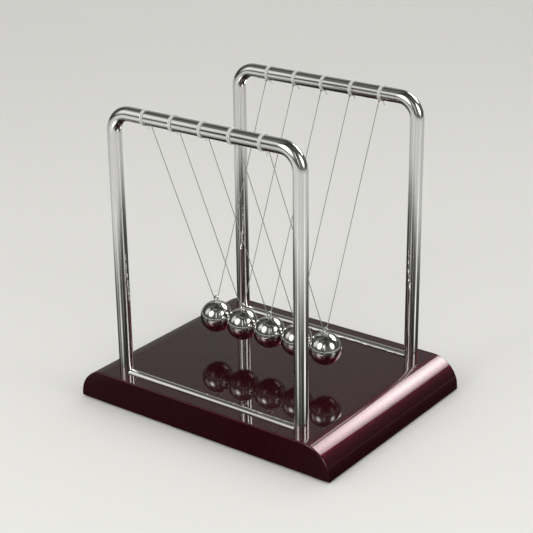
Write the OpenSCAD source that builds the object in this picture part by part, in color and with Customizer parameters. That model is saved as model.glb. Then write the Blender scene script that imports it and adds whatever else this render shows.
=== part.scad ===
// Newton's cradle: five steel balls hung on V-shaped nylon lines between two chromed
// arches, which stand on a lacquered board with rounded ends.
// The origin is the middle of the underside. X runs along the row of balls, Y from the
// front arch to the rear arch, and Z is up. Sizes are in millimetres.

/* [Arches] */
// Distance between the centrelines of an arch's two uprights
arch_w = 130; // [110:1:170]
// Distance from the front arch to the rear arch, centre to centre
arch_gap = 116.6; // [90:0.2:150]
// Height of the top bar's centreline above the board
bar_height = 163.4; // [120:0.2:220]
// Diameter of the bent rod
rod_d = 8.4; // [6:0.1:11]
// Radius of each bend, at the rod's centreline
bend_r = 12; // [9:0.5:15]

/* [Board] */
// Thickness of the board
board_t = 19.5; // [15:0.5:30]
// Length of board beyond the uprights at each rounded end
end_overhang = 27; // [20:0.5:45]
// Depth of board in front of and behind the arches
side_overhang = 12.2; // [10:0.1:25]
// Radius of the rounded ends, limited by the thickness
end_r = 18; // [8:0.5:29]
// Wood left between an upright's socket and the screw's recess
web_t = 3.5; // [2.5:0.5:6]

/* [Rubber feet] */
// Diameter of a foot
foot_d = 12; // [8:0.5:14]
// Thickness of a foot
foot_t = 1; // [0.8:0.1:3]
// Distance from each upright's centre out to the foot beside it
foot_shift = 13; // [12.5:0.5:18]

/* [Sill bars] */
// Width of the half-round bar between an arch's two feet
sill_w = 5.6; // [4:0.1:7]
// Height of the bar's crown above the board
sill_rise = 1.9; // [1:0.1:2.8]
// Depth of the groove that the bar is glued into
sill_sunk = 0.8; // [0.5:0.1:2]

/* [Balls] */
// Diameter of a ball
ball_d = 20; // [14:0.5:24]
// Gap between neighbouring balls at rest
ball_gap = 0.5; // [0.1:0.1:0.8]
// Height of the balls' centres above the board
ball_rise = 21.1; // [17:0.1:60]

/* [Eyelets] */
// Diameter of the eyelet's wire
eye_wire = 1; // [0.8:0.1:1.4]
// Radius of the eyelet's ring, at the wire's centreline
eye_r = 1.4; // [1.3:0.1:2.5]
// Diameter of the eyelet's shank
shank_d = 1.4; // [1:0.1:1.8]
// Length of the shank inside the ball
shank_depth = 3; // [2:0.5:5]
// Thickness of the collar below the ring
collar_t = 0.4; // [0.3:0.1:0.6]

/* [Lines and ties] */
// Diameter of a nylon line
line_d = 0.5; // [0.3:0.1:0.6]
// Radius of the line's turn through the eyelet
turn_r = 2.8; // [2:0.1:5]
// Diameter of the knot at each end of a line
knot_d = 1.3; // [1:0.1:2]
// Diameter of the nylon wound round the bar as a tie
tie_d = 0.7; // [0.5:0.1:1]
// How far each turn of a tie is sunk into the next
turn_bite = 0.06; // [0.04:0.01:0.1]
// Radius of the curl of a tie's cut end
tail_r = 1.3; // [0.9:0.1:2]

/* [Screws and washers] */
// Thread diameter of the screw under each upright
screw_d = 4; // [3:0.5:5]
// Length of the screw's shank
screw_len = 12; // [10:1:16]
// Diameter of the screw's head
head_d = 7.6; // [6:0.1:9]
// Height of the screw's head
head_h = 2.4; // [1.8:0.1:3]
// Length of each slot of the head's cross recess
cross_l = 4.2; // [3:0.1:5]
// Width of the slots
cross_w = 1.2; // [0.8:0.1:1.5]
// Depth of the slots
cross_h = 1.2; // [0.8:0.1:1.6]
// Diameter of the washer
washer_d = 9; // [8:0.5:12]
// Thickness of the washer
washer_t = 0.8; // [0.5:0.1:1.5]
// Thread left free in the upright beyond the screw's tip
tap_spare = 2; // [1:0.5:4]

/* [Clearances] */
// Between glued or seated pieces
seat_clear = 0.05; // [0.02:0.01:0.2]
// Between an upright and the end of a sill bar
cope_clear = 0.1; // [0.05:0.05:0.3]
// Round a screw's shank in the wood and in the washer
screw_clear = 0.2; // [0.1:0.05:0.4]
// Round a washer in its recess, and below the head to the underside
recess_clear = 0.6; // [0.4:0.1:1.5]
// Between a knot and its tie
knot_clear = 0.1; // [0.05:0.05:0.3]

/* [Hidden] */
ball_count = 5;
$fn = 96;
// Small overlap that joins the solids of one piece, and lets a cut run out of a face
eps = 0.01;
sides = [-1, 1];

// Board
base_l = arch_w + 2 * end_overhang;
base_d = arch_gap + 2 * side_overhang;
board_top = foot_t + board_t;
// Least height of the upright face below each rounded end
end_face = 0.5;
round_r = min(end_r, board_t - end_face);
recess_d = washer_d + 2 * recess_clear;
recess_depth = head_h + washer_t + recess_clear;
socket_floor = foot_t + recess_depth + web_t;
socket_d = rod_d + 2 * seat_clear;

// Arches
bar_z = board_top + bar_height;
leg_z = socket_floor + seat_clear;
bend_x = arch_w / 2 - bend_r;
tap_d = screw_d + 2 * seat_clear;
tap_depth = screw_len - web_t - washer_t + tap_spare;

// Sill bars, whose crown is a circle through both edges and the top
crown_r = (pow(sill_w / 2, 2) + pow(sill_rise, 2)) / (2 * sill_rise);

// Balls, spaced along X
pitch = ball_d + ball_gap;
ball_r = ball_d / 2;
ball_z = board_top + ball_rise;

// Eyelets: a flat spot on the ball carries a collar, the ring is sunk a little into the
// collar, and the shank goes down into a bore
rim = 0.1;
ring_sunk = 0.2;
collar_r = eye_r + rim;
spot_r = collar_r + rim;
spot_z = sqrt(pow(ball_r, 2) - pow(spot_r, 2));
eye_z = spot_z + collar_t + eye_r + eye_wire / 2 - ring_sunk;

// Lines: each knot lies against its tie, inside and below the bar at 45 degrees
knot_off = (rod_d / 2 + seat_clear + tie_d + knot_clear + knot_d / 2) * sin(45);
knot_y = arch_gap / 2 - knot_off;
knot_z = bar_z - knot_off;
turn_z = ball_z + eye_z + eye_r - eye_wire / 2 - line_d / 2 - seat_clear + turn_r;
reach = norm([knot_y, knot_z - turn_z]);
line_tilt = atan2(knot_y, knot_z - turn_z) + acos(turn_r / reach) - 90;

line_sides = 12;
turn_steps = 12;
line_route = [
    [-knot_y, knot_z, line_tilt - 90],
    for (k = [0 : turn_steps])
        let (a = (90 - line_tilt) * (2 * k / turn_steps - 1))
        [turn_r * sin(a), turn_z - turn_r * cos(a), a],
    [knot_y, knot_z, 90 - line_tilt]
];

// Ties: turns of nylon side by side, and the angle that the cut end curls through
tie_turns = 3;
tie_pitch = tie_d - turn_bite;
tie_r = rod_d / 2 + seat_clear + tie_d / 2;
tail_turn = 160;

chrome = [0.80, 0.81, 0.82];
lacquer = [0.24, 0.06, 0.09];
nylon = [0.88, 0.88, 0.86];
zinc = [0.66, 0.67, 0.68];
rubber = [0.08, 0.08, 0.08];

// Places its children under all four uprights
module at_uprights() {
    for (sx = sides, sy = sides) translate([sx * arch_w / 2, sy * arch_gap / 2, 0]) children();
}

// Outline of the board seen from the front: a flat top that rolls down to both ends
module board_outline() {
    intersection() {
        translate([-base_l / 2, 0]) square([base_l, board_t]);
        union() {
            translate([-base_l / 2, 0]) square([base_l, board_t - round_r]);
            translate([-base_l / 2 + round_r, 0]) square([base_l - 2 * round_r, board_t]);
            for (s = sides) translate([s * (base_l / 2 - round_r), board_t - round_r])
                circle(r = round_r);
        }
    }
}

// Lacquered board with a socket, a screw hole and a recess for each upright
module board() {
    color(lacquer) difference() {
        translate([0, base_d / 2, foot_t]) rotate([90, 0, 0]) linear_extrude(base_d) board_outline();
        at_uprights() {
            translate([0, 0, socket_floor]) cylinder(d = socket_d, h = board_t);
            translate([0, 0, foot_t - eps]) cylinder(d = screw_d + 2 * screw_clear, h = board_t);
            translate([0, 0, foot_t - eps]) cylinder(d = recess_d, h = recess_depth + eps);
        }
        for (s = sides) translate([0, s * arch_gap / 2, board_top]) sill_groove();
    }
}

// Groove for a sill bar, cut down from the board's top between two sockets
module sill_groove() {
    groove_d = sill_sunk + seat_clear;
    groove_w = sill_w + 2 * seat_clear;
    translate([-arch_w / 2, -groove_w / 2, -groove_d]) cube([arch_w, groove_w, groove_d + eps]);
}

// Four round feet on the underside, one beside each upright
module rubber_feet() {
    color(rubber) for (sx = sides, sy = sides)
        translate([sx * (arch_w / 2 + foot_shift), sy * arch_gap / 2, 0])
            cylinder(d = foot_d, h = foot_t);
}

// One rod bent into an arch, tapped at both lower ends, in the plane y = 0
module arch() {
    color(chrome) difference() {
        union() {
            translate([-bend_x, 0, bar_z]) rotate([0, 90, 0]) cylinder(d = rod_d, h = 2 * bend_x);
            for (m = [0, 1]) mirror([m, 0, 0]) {
                translate([arch_w / 2, 0, leg_z]) cylinder(d = rod_d, h = bar_z - bend_r - leg_z);
                translate([bend_x, 0, bar_z - bend_r]) rotate([90, 0, 0])
                    rotate_extrude(angle = 90) translate([bend_r, 0]) circle(d = rod_d);
            }
        }
        for (s = sides) translate([s * arch_w / 2, 0, leg_z - eps]) cylinder(d = tap_d, h = tap_depth);
    }
}

// Half-round bar let into the board, with its ends coped round the uprights
module sill_bar() {
    bar_h = sill_sunk + sill_rise;
    color(chrome) difference() {
        translate([-arch_w / 2, 0, board_top]) rotate([90, 0, 90]) linear_extrude(arch_w) union() {
            translate([-sill_w / 2, -sill_sunk]) square([sill_w, sill_sunk]);
            intersection() {
                translate([0, sill_rise - crown_r]) circle(r = crown_r);
                translate([-sill_w / 2, -eps]) square([sill_w, sill_rise + 2 * eps]);
            }
        }
        for (s = sides) translate([s * arch_w / 2, 0, board_top - sill_sunk - eps])
            cylinder(d = rod_d + 2 * cope_clear, h = bar_h + 2 * eps);
    }
}

// Pan-head screw with a cross recess, its washer face at z = 0 and its shank upward
module screw() {
    difference() {
        union() {
            translate([0, 0, -head_h]) cylinder(d = head_d, h = head_h);
            cylinder(d = screw_d, h = screw_len);
        }
        for (a = [0, 90]) rotate(a) translate([-cross_l / 2, -cross_w / 2, -head_h - eps])
            cube([cross_l, cross_w, cross_h + eps]);
    }
}

module arch_screws() {
    color(zinc) at_uprights() translate([0, 0, foot_t + recess_depth - washer_t]) screw();
}

module arch_washers() {
    color(zinc) at_uprights() translate([0, 0, foot_t + recess_depth - washer_t]) difference() {
        cylinder(d = washer_d, h = washer_t);
        translate([0, 0, -eps]) cylinder(d = screw_d + 2 * screw_clear, h = washer_t + 2 * eps);
    }
}

// Place of ball number i along the row, whose middle is x = 0
function ball_x(i) = (i - (ball_count + 1) / 2) * pitch;

// Places its children at the centre of ball number i
module at_ball(i) {
    translate([ball_x(i), 0, ball_z]) children();
}

// Steel ball with a small flat and a bore on top for its eyelet
module ball() {
    color(chrome) difference() {
        sphere(d = ball_d);
        translate([0, 0, spot_z]) cylinder(r = ball_r, h = ball_r);
        translate([0, 0, spot_z - shank_depth - seat_clear])
            cylinder(d = shank_d + 2 * seat_clear, h = shank_depth + seat_clear + eps);
    }
}

// Ring that the line runs through along Y, on a collar and a shank
module eyelet() {
    color(chrome) union() {
        translate([0, 0, eye_z]) rotate([90, 0, 0])
            rotate_extrude() translate([eye_r, 0]) circle(d = eye_wire);
        translate([0, 0, spot_z]) cylinder(r = collar_r, h = collar_t);
        translate([0, 0, spot_z - shank_depth]) cylinder(d = shank_d, h = shank_depth + collar_t / 2);
    }
}

// Nylon line: a strand up to each bar, a turn through the eyelet, and a knot at each end,
// in the plane x = 0. Both knots lie on the axis that the ball swings about.
module line() {
    color(nylon) union() {
        tube(line_route, line_d / 2, line_sides);
        for (m = [0, 1]) mirror([0, m, 0]) translate([0, knot_y, knot_z]) sphere(d = knot_d, $fn = 32);
    }
}

// Round tube along a route in the plane x = 0, given as [y, z, heading from +Y] at each ring
module tube(route, r, n) {
    rings = len(route);
    points = [
        for (p = route, k = [0 : n - 1])
            let (u = r * cos(360 * k / n), v = r * sin(360 * k / n))
            [u, p[0] - v * sin(p[2]), p[1] + v * cos(p[2])]
    ];
    walls = [
        for (j = [0 : rings - 2], k = [0 : n - 1])
            let (a = j * n + k, b = j * n + (k + 1) % n)
            each [[a, b, b + n], [a, b + n, a + n]]
    ];
    ends = [[for (k = [n - 1 : -1 : 0]) k], [for (k = [0 : n - 1]) (rings - 1) * n + k]];
    polyhedron(points, concat(walls, ends));
}

// Tie: turns of nylon wound round the bar, with the cut end curling down below it
module tie() {
    color(nylon) union() {
        for (k = [0 : tie_turns - 1]) translate([(k - (tie_turns - 1) / 2) * tie_pitch, 0, 0])
            rotate([0, 90, 0]) rotate_extrude() translate([tie_r, 0]) circle(d = tie_d, $fn = 24);
        translate([tail_r, 0, -tie_r]) rotate([90, 0, 0]) rotate(180)
            rotate_extrude(angle = tail_turn) translate([tail_r, 0]) circle(d = line_d, $fn = 24);
    }
}

board();
rubber_feet();
translate([0, -arch_gap / 2, 0]) arch();  // front_arch
translate([0, arch_gap / 2, 0]) arch();  // rear_arch
translate([0, -arch_gap / 2, 0]) sill_bar();  // front_sill_bar
translate([0, arch_gap / 2, 0]) sill_bar();  // rear_sill_bar
arch_screws();
arch_washers();
for (i = [1 : ball_count]) {
    x = ball_x(i);
    at_ball(i) ball();
    at_ball(i) eyelet();
    translate([x, 0, 0]) line();
    translate([x, -arch_gap / 2, bar_z]) tie();
    translate([x, arch_gap / 2, bar_z]) tie();
}
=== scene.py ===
# Newton's cradle: five steel balls hung on nylon lines between two chromed arches, which
# stand on a lacquered board. Lengths are in metres.
import math
import random

import bmesh
import bpy
from mathutils import Matrix, Vector


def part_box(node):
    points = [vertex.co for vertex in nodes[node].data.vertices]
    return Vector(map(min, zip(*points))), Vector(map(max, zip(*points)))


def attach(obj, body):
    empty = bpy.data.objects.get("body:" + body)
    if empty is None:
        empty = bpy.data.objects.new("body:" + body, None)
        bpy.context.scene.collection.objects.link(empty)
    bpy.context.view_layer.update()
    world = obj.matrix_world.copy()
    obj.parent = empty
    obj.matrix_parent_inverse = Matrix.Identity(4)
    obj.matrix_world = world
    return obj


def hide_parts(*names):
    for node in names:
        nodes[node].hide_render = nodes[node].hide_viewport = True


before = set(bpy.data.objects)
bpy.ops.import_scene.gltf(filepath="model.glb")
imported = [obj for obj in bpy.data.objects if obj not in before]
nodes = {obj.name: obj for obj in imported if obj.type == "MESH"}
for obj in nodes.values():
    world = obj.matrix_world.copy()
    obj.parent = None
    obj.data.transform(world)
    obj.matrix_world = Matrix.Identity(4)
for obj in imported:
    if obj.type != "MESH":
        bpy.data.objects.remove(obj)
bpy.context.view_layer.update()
MM = 0.001


# Camera: a short telephoto at the front right, 0.9 m away and looking down at 22 degrees.
azimuth, elevation, roll = (math.radians(a) for a in (36.9, 22.15, -0.72))
aim = Vector((-4.1 * MM, 3.2 * MM, 82.3 * MM))
distance = 884.6 * MM

right = Vector((math.cos(azimuth), math.sin(azimuth), 0))
back = Vector((
    math.sin(azimuth) * math.cos(elevation),
    -math.cos(azimuth) * math.cos(elevation),
    math.sin(elevation),
))
camera_data = bpy.data.cameras.new("camera")
camera_data.lens = 99.54
camera_data.sensor_width = 36
camera = bpy.data.objects.new("camera", camera_data)
turn = Matrix((right, back.cross(right), back)).transposed() @ Matrix.Rotation(roll, 3, "Z")
camera.matrix_world = Matrix.Translation(aim + distance * back) @ turn.to_4x4()
bpy.context.scene.collection.objects.link(camera)
bpy.context.scene.camera = camera


# Board: MDF with a routed edge, sprayed burgundy and lacquered. The uprights stand in
# sockets, the sill bars lie in grooves, and each screw has a recess underneath.
board_low, board_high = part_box("board")
rod_r = 4.2 * MM
upright_x = (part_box("front_arch")[1].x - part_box("front_arch")[0].x) / 2 - rod_r
arch_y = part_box("rear_arch")[1].y - rod_r
end_r = 18 * MM
rim_r = 0.9 * MM
rim_steps = 5
arc_steps = 28


def srgb(code):
    """A hex colour as the linear RGBA that Blender's sockets take."""
    parts = [int(code[i : i + 2], 16) / 255 for i in (0, 2, 4)]
    return [c / 12.92 if c <= 0.04045 else ((c + 0.055) / 1.055) ** 2.4 for c in parts] + [1]


def add(tree, kind, settings=None, **inputs):
    """Adds a node with its settings, and sets its inputs by name."""
    node = tree.nodes.new(kind)
    for name, value in (settings or {}).items():
        setattr(node, name, value)
    set_inputs(tree, node, **inputs)
    return node


def set_inputs(tree, node, **inputs):
    """Sets a node's inputs by name, each as a number, a colour or a link from a socket."""
    for name, value in inputs.items():
        socket = next(s for s in node.inputs if s.name == name.replace("_", " ") and s.enabled)
        if isinstance(value, bpy.types.NodeSocket):
            tree.links.new(value, socket)
        else:
            socket.default_value = value


def result(node):
    """The one output that a node has switched on."""
    return next(s for s in node.outputs if s.enabled)


def new_material(name):
    """An empty material with its surface shader and the piece's own coordinates."""
    material = bpy.data.materials.new(name)
    material.use_nodes = True
    tree = material.node_tree
    tree.nodes.clear()
    shader = add(tree, "ShaderNodeBsdfPrincipled")
    add(tree, "ShaderNodeOutputMaterial", Surface=shader.outputs["BSDF"])
    place = add(tree, "ShaderNodeTexCoord").outputs["Object"]
    return material, tree, shader, place


def new_piece(name, points, faces, material, body):
    """A smooth mesh piece that rides on a body and takes its finish from a slot."""
    mesh = bpy.data.meshes.new(name)
    mesh.from_pydata([tuple(p) for p in points], [], faces)
    mesh.validate()
    work = bmesh.new()
    work.from_mesh(mesh)
    bmesh.ops.recalc_face_normals(work, faces=work.faces)
    work.to_mesh(mesh)
    work.free()
    mesh.shade_smooth()
    piece = bpy.data.objects.new(name, mesh)
    bpy.context.scene.collection.objects.link(piece)
    mesh.materials.append(material)
    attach(piece, body)
    return piece


# Burgundy metallic lacquer: aluminium flake in a dyed coat below a clear gloss one. The
# eye gets a red glow where light strikes the flakes and a sharp mirror on top of it.
# Real flakes are about 0.05 mm across; they are drawn at 0.4 mm so that they show.
lacquer, tree, shader, place = new_material("burgundy_metallic_lacquer")
flakes = add(tree, "ShaderNodeTexVoronoi", Vector=place, Scale=1 / (0.4 * MM))
flake_tone = add(
    tree, "ShaderNodeMix", {"data_type": "RGBA"},
    A=srgb("2a0711"), B=srgb("571026"), Factor=flakes.outputs["Distance"],
)
flake_side = add(tree, "ShaderNodeVectorMath", {"operation": "SUBTRACT"})
tree.links.new(flakes.outputs["Color"], flake_side.inputs[0])
flake_side.inputs[1].default_value = (0.5, 0.5, 0.5)
flake_normal = add(tree, "ShaderNodeVectorMath", {"operation": "MULTIPLY_ADD"})
tree.links.new(flake_side.outputs[0], flake_normal.inputs[0])
flake_normal.inputs[1].default_value = (0.25, 0.25, 0.25)
tree.links.new(add(tree, "ShaderNodeNewGeometry").outputs["Normal"], flake_normal.inputs[2])
peel = add(tree, "ShaderNodeTexNoise", Vector=place, Scale=1 / (5 * MM), Detail=2)
peel_bump = add(
    tree, "ShaderNodeBump", Height=peel.outputs["Fac"], Strength=0.25, Distance=0.02 * MM
)
set_inputs(
    tree, shader,
    Base_Color=result(flake_tone),
    Metallic=0.8,
    Roughness=0.33,
    Specular_Tint=srgb("7c2a46"),
    Coat_Weight=1.0,
    Coat_Roughness=0.02,
    Coat_IOR=1.5,
    Normal=flake_normal.outputs[0],
    Coat_Normal=peel_bump.outputs["Normal"],
)


def board_outline(inset):
    """The board's outline seen from the front, drawn in by inset, as (x, z) points."""
    half = (board_high.x - board_low.x) / 2 - inset
    low, high = board_low.z + inset, board_high.z - inset
    radius = end_r - inset
    arc = [
        (half - radius + radius * math.cos(a), high - radius + radius * math.sin(a))
        for a in (math.pi / 2 * i / arc_steps for i in range(arc_steps + 1))
    ]
    mirrored = [(-x, z) for x, z in reversed(arc)]
    return [(-half, low), (half, low)] + arc + mirrored


def board_points():
    """Rings of the outline from front to rear, with both rims rounded."""
    half_depth = board_high.y
    rim = [math.pi / 2 * i / rim_steps for i in range(rim_steps + 1)]
    front = [(-half_depth + rim_r * (1 - math.sin(a)), rim_r * (1 - math.cos(a))) for a in rim]
    rear = [(-y, inset) for y, inset in front]
    return [
        [Vector((x, y, z)) for x, z in board_outline(inset)]
        for y, inset in front[::-1] + rear
    ]


def loft(rings, loop=False):
    """Points and faces of a skin over like rings, capped or joined into a loop."""
    count = len(rings[0])
    points = [p for ring in rings for p in ring]
    faces = []
    for r in range(len(rings) if loop else len(rings) - 1):
        near, far = r * count, (r + 1) % len(rings) * count
        faces += [
            (near + k, near + (k + 1) % count, far + (k + 1) % count, far + k)
            for k in range(count)
        ]
    if not loop:
        last = (len(rings) - 1) * count
        faces += [tuple(range(count)), tuple(last + k for k in range(count))]
    return points, faces


def cut(piece, cutters):
    """Cuts closed meshes out of a piece, and keeps the result as its mesh."""
    for cutter in cutters:
        modifier = piece.modifiers.new("cut", "BOOLEAN")
        modifier.operation = "DIFFERENCE"
        modifier.solver = "EXACT"
        modifier.object = cutter
    depsgraph = bpy.context.evaluated_depsgraph_get()
    machined = bpy.data.meshes.new_from_object(piece.evaluated_get(depsgraph))
    piece.modifiers.clear()
    piece.data = machined
    for cutter in cutters:
        bpy.data.objects.remove(cutter)


def drill(x, y, z, diameter, height):
    """An upright cylinder that is used as a cutter."""
    bpy.ops.mesh.primitive_cylinder_add(
        vertices=64, radius=diameter / 2, depth=height, location=(x, y, z + height / 2)
    )
    return bpy.context.object


points, faces = loft(board_points())
board = new_piece("lacquered_board", points, faces, lacquer, "stand")
# The web is the wood left between a socket and the recess below it. Each cutter stands
# past the board by over, so that no cut ends flush with a face.
socket_d, hole_d, recess_d = 8.5 * MM, 4.4 * MM, 10.2 * MM
recess_h, web = 3.8 * MM, 3.5 * MM
groove_w, groove_depth = 5.7 * MM, 0.85 * MM
over = 1 * MM
cutters = []
for sx in (-1, 1):
    for sy in (-1, 1):
        x, y = sx * upright_x, sy * arch_y
        floor_z = board_low.z + recess_h + web
        cutters.append(drill(x, y, floor_z, socket_d, board_high.z - floor_z + over))
        cutters.append(drill(x, y, board_low.z - over, hole_d, board_high.z - board_low.z))
        cutters.append(drill(x, y, board_low.z - over, recess_d, recess_h + over))
for sy in (-1, 1):
    groove = bpy.data.meshes.new("groove")
    tool = bmesh.new()
    bmesh.ops.create_cube(tool, size=1)
    tool.to_mesh(groove)
    tool.free()
    cutter = bpy.data.objects.new("groove", groove)
    cutter.scale = (2 * upright_x, groove_w, 2 * groove_depth)
    cutter.location = (0, sy * arch_y, board_high.z)
    bpy.context.scene.collection.objects.link(cutter)
    cutters.append(cutter)
bpy.context.view_layer.update()
cut(board, cutters)
board.data.shade_smooth()
board.data.set_sharp_from_angle(angle=math.radians(35))
weighted = board.modifiers.new("weighted_normals", "WEIGHTED_NORMAL")
weighted.keep_sharp = True
weighted.weight = 80
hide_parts("board")


# Arches and sill bars: mild steel rod, bent cold, and half-round bar, both buffed and
# chrome plated. The rods stand in the board's sockets and the bars lie in its grooves.
# Bright chrome: a clear and nearly neutral mirror, with a faint haze left by the buffing
# mop, whose marks are about 0.3 mm apart.
chrome, tree, shader, place = new_material("bright_chrome")
haze = add(tree, "ShaderNodeTexNoise", Vector=place, Scale=1 / (12 * MM), Detail=3)
haze_rough = add(
    tree, "ShaderNodeMapRange", Value=haze.outputs["Fac"],
    From_Min=0.3, From_Max=0.7, To_Min=0.03, To_Max=0.075,
)
marks = add(tree, "ShaderNodeTexNoise", Vector=place, Scale=1 / (0.3 * MM), Detail=1)
marks_bump = add(
    tree, "ShaderNodeBump", Height=marks.outputs["Fac"], Strength=0.04, Distance=0.01 * MM
)
set_inputs(
    tree, shader,
    Base_Color=srgb("e3e2df"),
    Metallic=1.0,
    Roughness=result(haze_rough),
    Normal=marks_bump.outputs["Normal"],
)


def finish_node(name, material):
    """Gives a CAD node its material."""
    piece = nodes[name]
    piece.data.materials.clear()
    piece.data.materials.append(material)


for name in ("front_arch", "rear_arch", "front_sill_bar", "rear_sill_bar"):
    finish_node(name, chrome)


# Balls: hardened steel bearing balls, lapped to a mirror and left bare, each with a small
# flat and a bore on top for its eyelet.
# Polished bearing steel: a darker, warmer mirror than chrome, with faint finger marks.
steel, tree, shader, place = new_material("polished_bearing_steel")
smear = add(
    tree, "ShaderNodeTexNoise", Vector=place, Scale=1 / (6 * MM), Detail=4, Distortion=1.5
)
smear_rough = add(
    tree, "ShaderNodeMapRange", Value=smear.outputs["Fac"],
    From_Min=0.35, From_Max=0.7, To_Min=0.015, To_Max=0.06,
)
set_inputs(
    tree, shader,
    Base_Color=srgb("d2d1cd"),
    Metallic=1.0,
    Roughness=result(smear_rough),
)
ball_count = 5
for i in range(1, ball_count + 1):
    finish_node(f"ball_{i}", steel)
    finish_node(f"eyelet_{i}", chrome)


# Lines: clear nylon monofilament, 0.5 mm thick, run through the eyelet and knotted at
# each bar. The ball's weight draws both strands straight.
# Clear nylon: a thin grey strand with a bright edge along its length.
nylon, tree, shader, place = new_material("clear_nylon")
cloud = add(tree, "ShaderNodeTexNoise", Vector=place, Scale=1 / (2 * MM), Detail=2)
nylon_tone = add(
    tree, "ShaderNodeMix", {"data_type": "RGBA"},
    A=srgb("72726f"), B=srgb("a2a29e"), Factor=cloud.outputs["Fac"],
)
set_inputs(
    tree, shader,
    Base_Color=result(nylon_tone),
    Roughness=0.22,
    IOR=1.53,
    Transmission_Weight=0.2,
)
line_r = 0.25 * MM
knot_r = 0.65 * MM
turn_r = 2.8 * MM
tube_sides = 16


def ring(p, ahead, lean, radius, sides):
    """Points round p, square to the way ahead, the first of them on the side of lean."""
    side = (lean - lean.dot(ahead) * ahead).normalized()
    up = ahead.cross(side)
    return [
        p + radius * (math.cos(a) * side + math.sin(a) * up)
        for a in (2 * math.pi * k / sides for k in range(sides))
    ]


def tube(route, radius, sides=tube_sides):
    """Rings along a route of points, for a round tube that never twists."""
    rings = []
    lean = (route[1] - route[0]).orthogonal()
    for j, p in enumerate(route):
        ahead = (route[min(j + 1, len(route) - 1)] - route[max(j - 1, 0)]).normalized()
        rings.append(ring(p, ahead, lean, radius, sides))
        lean = rings[-1][0] - p
    return rings


def join_parts(parts):
    """Points and faces of several (points, faces) as one."""
    points, faces = [], []
    for part_points, part_faces in parts:
        start = len(points)
        points += part_points
        faces += [tuple(start + k for k in face) for face in part_faces]
    return points, faces


def knot(centre, radius, wire, phase):
    """A small three-lobed knot pulled tight about a centre."""
    lobe = (radius - wire) / 3
    steps, sides = 60, 10
    route = []
    for t in (2 * math.pi * k / steps for k in range(steps)):
        p = Vector((
            math.sin(t) + 2 * math.sin(2 * t),
            math.cos(t) - 2 * math.cos(2 * t),
            -1.6 * math.sin(3 * t),
        ))
        route.append(centre + lobe * (Matrix.Rotation(phase, 3, "X") @ p))
    rings = [
        ring(p, (route[(k + 1) % steps] - route[k - 1]).normalized(), p - centre, wire, sides)
        for k, p in enumerate(route)
    ]
    return loft(rings, loop=True)


for i in range(1, ball_count + 1):
    low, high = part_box(f"line_{i}")
    x = (low.x + high.x) / 2
    knot_y = high.y - knot_r
    knot_z = high.z - knot_r
    turn_z = low.z + line_r + turn_r
    to_knot = math.hypot(knot_y, knot_z - turn_z)
    strand_tilt = (
        math.atan2(knot_y, knot_z - turn_z) + math.acos(turn_r / to_knot) - math.pi / 2
    )
    half_turn = math.pi / 2 - strand_tilt
    turn_steps = 24
    arc = [
        Vector((x, turn_r * math.sin(a), turn_z - turn_r * math.cos(a)))
        for a in (half_turn * (2 * k / turn_steps - 1) for k in range(turn_steps + 1))
    ]
    route = [Vector((x, -knot_y, knot_z))] + arc + [Vector((x, knot_y, knot_z))]
    parts = [loft(tube(route, line_r))]
    parts += [knot(Vector((x, s * knot_y, knot_z)), knot_r, line_r, s) for s in (-1, 1)]
    points, faces = join_parts(parts)
    line = new_piece(f"nylon_line_{i}", points, faces, nylon, f"pendulum_{i}")
    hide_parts(f"line_{i}")


# Ties: the end of each line wound four times round the bar and drawn tight, with the
# cut end left to curl below.
# Wound nylon: the turns scatter light into each other, so it looks milky white.
wound, tree, shader, place = new_material("wound_nylon")
milk = add(tree, "ShaderNodeTexNoise", Vector=place, Scale=1 / (1.5 * MM), Detail=2)
milk_tone = add(
    tree, "ShaderNodeMix", {"data_type": "RGBA"},
    A=srgb("c2c2be"), B=srgb("e9e9e5"), Factor=milk.outputs["Fac"],
)
set_inputs(
    tree, shader,
    Base_Color=result(milk_tone),
    Roughness=0.25,
    IOR=1.53,
    Transmission_Weight=0.25,
)
random.seed(7)
tie_turns = 4
tie_pitch = 2.04 * line_r
tie_half = 0.99 * MM
wind_gap = 0.06 * MM
wobble_size = 0.05 * MM
turn_points = 40
tie_sides = 12


def tie_route(centre, wind_r, side):
    """The route of one tie: turns round the bar, then the curl of the cut end."""
    route = []
    total = tie_turns * turn_points
    lean = random.uniform(-0.04, 0.04)
    phase = 40 * lean
    for k in range(total + 1):
        a = 2 * math.pi * k / turn_points
        offset = tie_pitch * (k / turn_points - tie_turns / 2)
        wobble = wobble_size * math.sin(3 * a + phase)
        route.append(centre + Vector((
            offset + lean * wind_r * math.sin(a) + wobble,
            -side * wind_r * math.sin(a),
            -wind_r * math.cos(a),
        )))
    curl_r = random.uniform(0.9, 1.2) * MM
    curl_steps = 24
    curl_turn = random.uniform(2.6, 3.8)
    drift = random.uniform(0.25, 0.4) * MM
    start = route[-1]
    for k in range(1, curl_steps + 1):
        a = curl_turn * k / curl_steps
        route.append(start + Vector((
            drift * a,
            -side * curl_r * math.sin(a),
            -curl_r * (1 - math.cos(a)),
        )))
    return route


for end, side in (("front", -1), ("rear", 1)):
    for i in range(1, ball_count + 1):
        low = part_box(f"{end}_tie_{i}")[0]
        bar_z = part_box(f"{end}_arch")[1].z - rod_r
        centre = Vector((low.x + tie_half, side * arch_y, bar_z))
        route = tie_route(centre, rod_r + wind_gap + line_r, side)
        points, faces = loft(tube(route, line_r, tie_sides))
        tie = new_piece(f"{end}_nylon_tie_{i}", points, faces, wound, "stand")
        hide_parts(f"{end}_tie_{i}")


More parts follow.
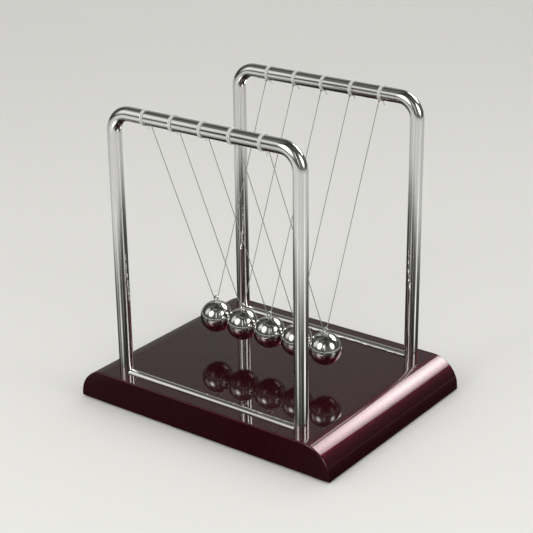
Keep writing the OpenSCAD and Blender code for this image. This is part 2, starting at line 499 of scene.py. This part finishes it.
# Feet: four discs of black rubber stuck to the underside, matt and slightly dusty.
rubber, tree, shader, place = new_material("black_rubber")
grain = add(tree, "ShaderNodeTexNoise", Vector=place, Scale=1 / (0.5 * MM), Detail=3)
grain_bump = add(
    tree, "ShaderNodeBump", Height=grain.outputs["Fac"], Strength=0.3, Distance=0.05 * MM
)
dust = add(
    tree, "ShaderNodeMix", {"data_type": "RGBA"},
    A=srgb("141414"), B=srgb("262524"), Factor=grain.outputs["Fac"],
)
set_inputs(
    tree, shader,
    Base_Color=result(dust),
    Roughness=0.75,
    IOR=1.52,
    Normal=grain_bump.outputs["Normal"],
)
finish_node("rubber_feet", rubber)


# Screws and washers: zinc-plated steel under each upright, seen only from below.
# Zinc plate: a dull blue-grey metal with cloudy crystals about 1.5 mm across.
zinc, tree, shader, place = new_material("zinc_plated_steel")
clouds = add(tree, "ShaderNodeTexVoronoi", Vector=place, Scale=1 / (1.5 * MM))
zinc_tone = add(
    tree, "ShaderNodeMix", {"data_type": "RGBA"},
    A=srgb("a9adb2"), B=srgb("c6c9cc"), Factor=clouds.outputs["Distance"],
)
set_inputs(
    tree, shader,
    Base_Color=result(zinc_tone),
    Metallic=1.0,
    Roughness=0.36,
)
finish_node("arch_screws", zinc)
finish_node("arch_washers", zinc)


# Floor: plain and pale. Mirror rays don't meet it, or the chrome would only mirror white.
# They meet a table that nothing else sees, just above the floor: dark round the object,
# and paler and more mirror-like further out.
floor_r = 8.0
table_r = 2.6
table_z = 0.2 * MM


def disc(name, radius, material, z):
    """A flat round stage piece."""
    bpy.ops.mesh.primitive_circle_add(
        vertices=96, radius=radius, fill_type="NGON", location=(0, 0, z)
    )
    piece = bpy.context.object
    piece.name = name
    piece.data.materials.append(material)
    return piece


paper, tree, shader, _ = new_material("pale_paper")
set_inputs(tree, shader, Base_Color=srgb("d6d5d2"), Roughness=0.8)
floor = disc("floor", floor_r, paper, 0)
floor.visible_glossy = False


def only_reflected(piece):
    """Leaves a stage piece to mirror rays alone."""
    piece.visible_camera = False
    piece.visible_diffuse = False
    piece.visible_shadow = False
    piece.visible_transmission = False


table_top, tree, shader, place = new_material("polished_table")
out = add(tree, "ShaderNodeVectorMath", {"operation": "LENGTH"})
tree.links.new(place, out.inputs[0])
paler = add(
    tree, "ShaderNodeMapRange", {"interpolation_type": "SMOOTHSTEP"}, Value=out.outputs["Value"],
    From_Min=0.21, From_Max=0.42, To_Min=0.012, To_Max=0.75,
)
polish = add(
    tree, "ShaderNodeMapRange", Value=out.outputs["Value"],
    From_Min=0.13, From_Max=0.2, To_Min=1.3, To_Max=4.0,
)
set_inputs(tree, shader, Base_Color=result(paler), Roughness=0.1, IOR=result(polish))
only_reflected(disc("reflected_table", table_r, table_top, table_z))


# Light: three softboxes, two weaker walls and a thin strip in front. The rear softbox
# lights no matt surface. Matt surfaces see a pale room round it all, and mirror rays see
# a dim and cloudy one.
aim_height = 90 * MM


def softbox(name, from_azimuth, from_elevation, away, width, height, power, focus):
    """A rectangular light that faces the object, even at focus 0 and more peaked above it."""
    a, e = math.radians(from_azimuth), math.radians(from_elevation)
    toward = Vector((math.sin(a) * math.cos(e), -math.cos(a) * math.cos(e), math.sin(e)))
    # The glow ends this far from the middle, in shares of the light's sides. The energy
    # is raised by about as much as the fading takes away.
    fade_end = 0.62
    data = bpy.data.lights.new(name, "AREA")
    data.shape = "RECTANGLE"
    data.size, data.size_y = width, height
    data.energy = power * (focus + 1) * (focus + 2) / (2 * math.pi * fade_end ** 2)
    data.use_nodes = True
    tree = data.node_tree
    tree.nodes.clear()
    off_centre = add(tree, "ShaderNodeVectorMath", {"operation": "DISTANCE"})
    on_light = add(tree, "ShaderNodeNewGeometry").outputs["Parametric"]
    tree.links.new(on_light, off_centre.inputs[0])
    off_centre.inputs[1].default_value = (0.5, 0.5, 0)
    inward = add(
        tree, "ShaderNodeMapRange", Value=off_centre.outputs["Value"],
        From_Min=0.0, From_Max=fade_end, To_Min=1.0, To_Max=0.0,
    )
    glow = add(tree, "ShaderNodeMath", {"operation": "POWER"})
    tree.links.new(result(inward), glow.inputs[0])
    glow.inputs[1].default_value = focus
    bulb = add(tree, "ShaderNodeEmission", Strength=result(glow))
    add(tree, "ShaderNodeOutputLight", Surface=bulb.outputs["Emission"])
    light = bpy.data.objects.new(name, data)
    light.location = Vector((0, 0, aim_height)) + away * toward
    light.rotation_mode = "QUATERNION"
    light.rotation_quaternion = toward.to_track_quat("Z", "Y")
    light.visible_camera = False
    bpy.context.scene.collection.objects.link(light)
    return light


softbox("left_softbox", -11, 31, 1.1, 0.9, 1.1, 4.5, 2.5)
softbox("right_softbox", 92, 27, 1.1, 0.75, 1.0, 3.8, 2.5)
softbox("left_wall", -52, 28, 1.3, 0.7, 1.0, 1.4, 0.5)
softbox("front_strip", 33, 26, 1.1, 0.05, 0.95, 0.3, 0.5)
softbox("rear_wall", 217, 22, 1.5, 1.3, 1.2, 1.1, 0.1)
rear = softbox("rear_softbox", 167, 36, 1.3, 0.9, 0.6, 12, 0.8)
rear.visible_diffuse = False

world = bpy.data.worlds.new("studio")
bpy.context.scene.world = world
world.use_nodes = True
tree = world.node_tree
tree.nodes.clear()
rays = add(tree, "ShaderNodeLightPath")
seen = add(
    tree, "ShaderNodeMapRange", Value=rays.outputs["Is Camera Ray"], To_Min=1.0, To_Max=0.68
)
pale_room = add(tree, "ShaderNodeBackground", Color=srgb("e8e8e6"), Strength=result(seen))
shapes = add(
    tree, "ShaderNodeTexNoise",
    Vector=add(tree, "ShaderNodeTexCoord").outputs["Generated"], Scale=1.6, Detail=1,
)
dim = add(
    tree, "ShaderNodeMapRange", Value=shapes.outputs["Fac"],
    From_Min=0.35, From_Max=0.65, To_Min=0.06, To_Max=0.2,
)
dark_room = add(tree, "ShaderNodeBackground", Color=srgb("e8e8e4"), Strength=result(dim))
room = add(tree, "ShaderNodeMixShader", Fac=rays.outputs["Is Glossy Ray"])
tree.links.new(pale_room.outputs["Background"], room.inputs[1])
tree.links.new(dark_room.outputs["Background"], room.inputs[2])
add(tree, "ShaderNodeOutputWorld", Surface=room.outputs["Shader"])
bpy.context.scene.view_settings.view_transform = "Standard"
